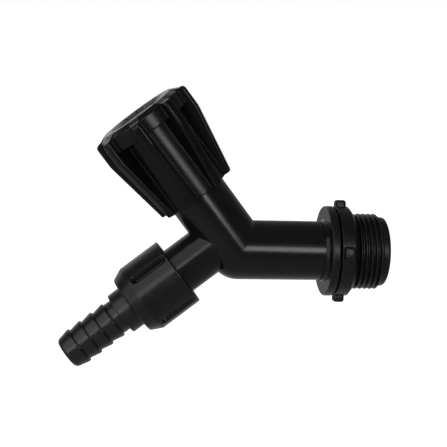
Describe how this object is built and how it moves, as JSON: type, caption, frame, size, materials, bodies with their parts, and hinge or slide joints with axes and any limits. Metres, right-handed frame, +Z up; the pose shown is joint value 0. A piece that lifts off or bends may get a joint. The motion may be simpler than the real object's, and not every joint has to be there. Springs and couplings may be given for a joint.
{
  "type": "garden tap",
  "caption": "Black plastic screw-down garden tap with a ribbed knob, a threaded inlet with lugs and a barbed hose tail held by a union nut.",
  "frame": {"origin": "on the inlet's axis, at the shoulder where the inlet thread starts", "axes": "+X along the inlet, out of the tap and into the wall fitting; +Z up, with the knob up and to -X"},
  "size_m": [0.1127, 0.0366, 0.0972],
  "materials": {
    "body_plastic": "black moulded plastic, satin",
    "knob_plastic": "black moulded plastic, satin to gloss",
    "nut_plastic": "black moulded plastic, finely textured",
    "tail_plastic": "black moulded plastic, satin",
    "adapter_plastic": "black moulded plastic, satin",
    "bonnet_plastic": "natural acetal, satin",
    "cap_plastic": "black moulded plastic, fine grain",
    "rubber": "black rubber",
    "brass": "turned brass",
    "steel": "plated steel"
  },
  "bodies": {
    "tap": {"tap_body": "body_plastic", "inlet_adapter": "adapter_plastic", "inlet_gasket": "rubber", "bonnet": "bonnet_plastic", "bonnet_seal_ring": "rubber"},
    "valve": {"jumper_valve": "brass", "tap_washer": "rubber", "washer_screw": "brass"},
    "handle": {"spindle": "brass", "stem_seal_ring_lower": "rubber", "stem_seal_ring_upper": "rubber", "slip_washer": "bonnet_plastic", "knob": "knob_plastic", "knob_cap": "cap_plastic", "knob_screw": "steel", "knob_screw_washer": "steel"},
    "tail": {"hose_tail": "tail_plastic", "tail_washer": "rubber"},
    "nut": {"union_nut": "nut_plastic"}
  },
  "joints": [
    {"name": "valve_lift", "type": "slide", "parent": "tap", "child": "valve", "axis": [-0.6157, 0, 0.788], "range_m": [0, 0.0055]},
    {"name": "handle_turn", "type": "hinge", "parent": "valve", "child": "handle", "pos_m": [-0.0442, 0, 0.00512], "axis": [-0.6157, 0, 0.788], "range_deg": [0, 720.01]},
    {"name": "tail_travel", "type": "slide", "parent": "tap", "child": "tail", "axis": [-0.788, 0, -0.6157], "range_m": [0, 0.00726]},
    {"name": "nut_turn", "type": "hinge", "parent": "tail", "child": "nut", "pos_m": [-0.0442, 0, 0.00512], "axis": [-0.788, 0, -0.6157], "range_deg": [0, 1440.01]}
  ],
  "couplings": [
    {"joint": "handle_turn", "follows": "valve_lift", "rad_per_m": 2284.8},
    {"joint": "nut_turn", "follows": "tail_travel", "rad_per_m": 3463.7}
  ]
}
